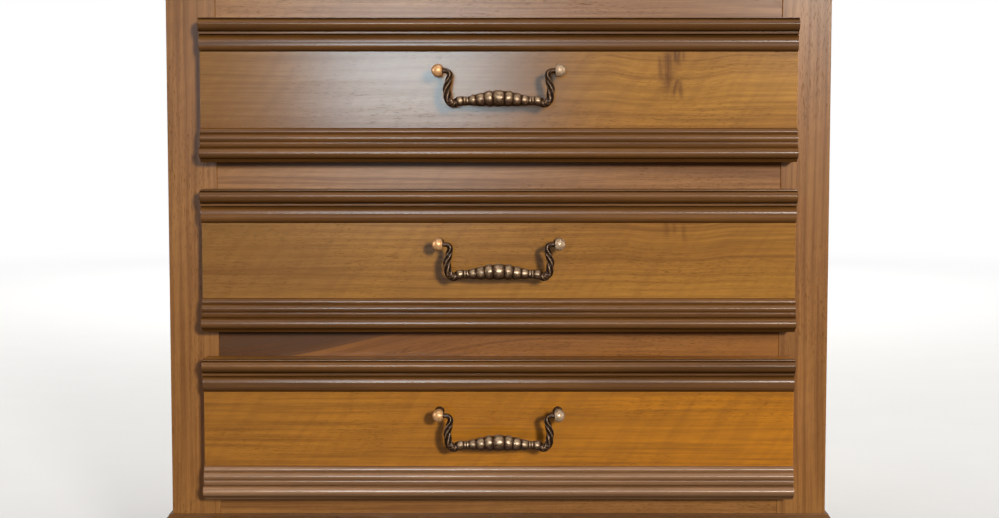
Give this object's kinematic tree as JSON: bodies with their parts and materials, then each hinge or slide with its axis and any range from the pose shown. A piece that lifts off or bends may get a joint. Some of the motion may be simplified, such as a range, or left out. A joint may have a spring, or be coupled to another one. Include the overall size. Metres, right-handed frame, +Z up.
{
  "type": "chest of drawers",
  "caption": "Low walnut chest of drawers with moulded overlay fronts, bracket feet and a hinged bronze bail pull at the middle of each front.",
  "frame": {"origin": "middle of the whole chest's footprint, pulls included, on the floor", "axes": "+X to the right as one faces the chest, +Y from the fronts towards the back, +Z up"},
  "size_m": [0.588, 0.4295, 0.5545],
  "materials": {
    "walnut_front": "satin lacquered walnut veneer, golden brown",
    "walnut_moulding": "satin lacquered walnut, darker brown",
    "walnut_carcass": "satin lacquered walnut",
    "beech": "planed and waxed beech",
    "plywood": "sanded plywood",
    "antique_bronze": "dark patina with worn golden crowns",
    "screw_steel": "zinc plated"
  },
  "bodies": {
    "carcass": {"back_panel": "plywood", "back_rail": "beech", "base_moulding_front": "walnut_moulding", "base_moulding_left": "walnut_moulding", "base_moulding_right": "walnut_moulding", "bottom_board": "plywood", "cornice_front": "walnut_moulding", "cornice_left": "walnut_moulding", "cornice_right": "walnut_moulding", "foot_back_left": "walnut_moulding", "foot_back_right": "walnut_moulding", "foot_front_left": "walnut_moulding", "foot_front_right": "walnut_moulding", "kickers": "beech", "lower_runners": "beech", "middle_runners": "beech", "rail_bottom": "walnut_carcass", "rail_lower": "walnut_carcass", "rail_top": "walnut_carcass", "rail_upper": "walnut_carcass", "side_left": "walnut_carcass", "side_right": "walnut_carcass", "stile_left": "walnut_carcass", "stile_right": "walnut_carcass", "top_board": "walnut_front", "upper_runners": "beech"},
    "lower_drawer": {"lower_front_panel": "walnut_front", "lower_top_moulding": "walnut_moulding", "lower_bottom_moulding": "walnut_moulding", "lower_box_front": "beech", "lower_box_side_left": "beech", "lower_box_side_right": "beech", "lower_box_back": "beech", "lower_box_bottom": "plywood", "lower_pull_posts": "antique_bronze", "lower_pull_screws": "screw_steel"},
    "lower_pull_bail": {"lower_bail": "antique_bronze"},
    "middle_drawer": {"middle_front_panel": "walnut_front", "middle_top_moulding": "walnut_moulding", "middle_bottom_moulding": "walnut_moulding", "middle_box_front": "beech", "middle_box_side_left": "beech", "middle_box_side_right": "beech", "middle_box_back": "beech", "middle_box_bottom": "plywood", "middle_pull_posts": "antique_bronze", "middle_pull_screws": "screw_steel"},
    "middle_pull_bail": {"middle_bail": "antique_bronze"},
    "upper_drawer": {"upper_front_panel": "walnut_front", "upper_top_moulding": "walnut_moulding", "upper_bottom_moulding": "walnut_moulding", "upper_box_front": "beech", "upper_box_side_left": "beech", "upper_box_side_right": "beech", "upper_box_back": "beech", "upper_box_bottom": "plywood", "upper_pull_posts": "antique_bronze", "upper_pull_screws": "screw_steel"},
    "upper_pull_bail": {"upper_bail": "antique_bronze"}
  },
  "joints": [
    {"name": "lower_drawer_slide", "type": "slide", "parent": "carcass", "child": "lower_drawer", "axis": [0, -1, 0], "range_m": [0, 0.25]},
    {"name": "lower_bail_hinge", "type": "hinge", "parent": "lower_drawer", "child": "lower_pull_bail", "pos_m": [0, -0.20815, 0.1748], "axis": [-1, 0, 0], "range_deg": [-52, 180]},
    {"name": "middle_drawer_slide", "type": "slide", "parent": "carcass", "child": "middle_drawer", "axis": [0, -1, 0], "range_m": [0, 0.25]},
    {"name": "middle_bail_hinge", "type": "hinge", "parent": "middle_drawer", "child": "middle_pull_bail", "pos_m": [0, -0.20815, 0.3123], "axis": [-1, 0, 0], "range_deg": [-52, 180]},
    {"name": "upper_drawer_slide", "type": "slide", "parent": "carcass", "child": "upper_drawer", "axis": [0, -1, 0], "range_m": [0, 0.25]},
    {"name": "upper_bail_hinge", "type": "hinge", "parent": "upper_drawer", "child": "upper_pull_bail", "pos_m": [0, -0.20815, 0.4498], "axis": [-1, 0, 0], "range_deg": [-52, 180]}
  ]
}
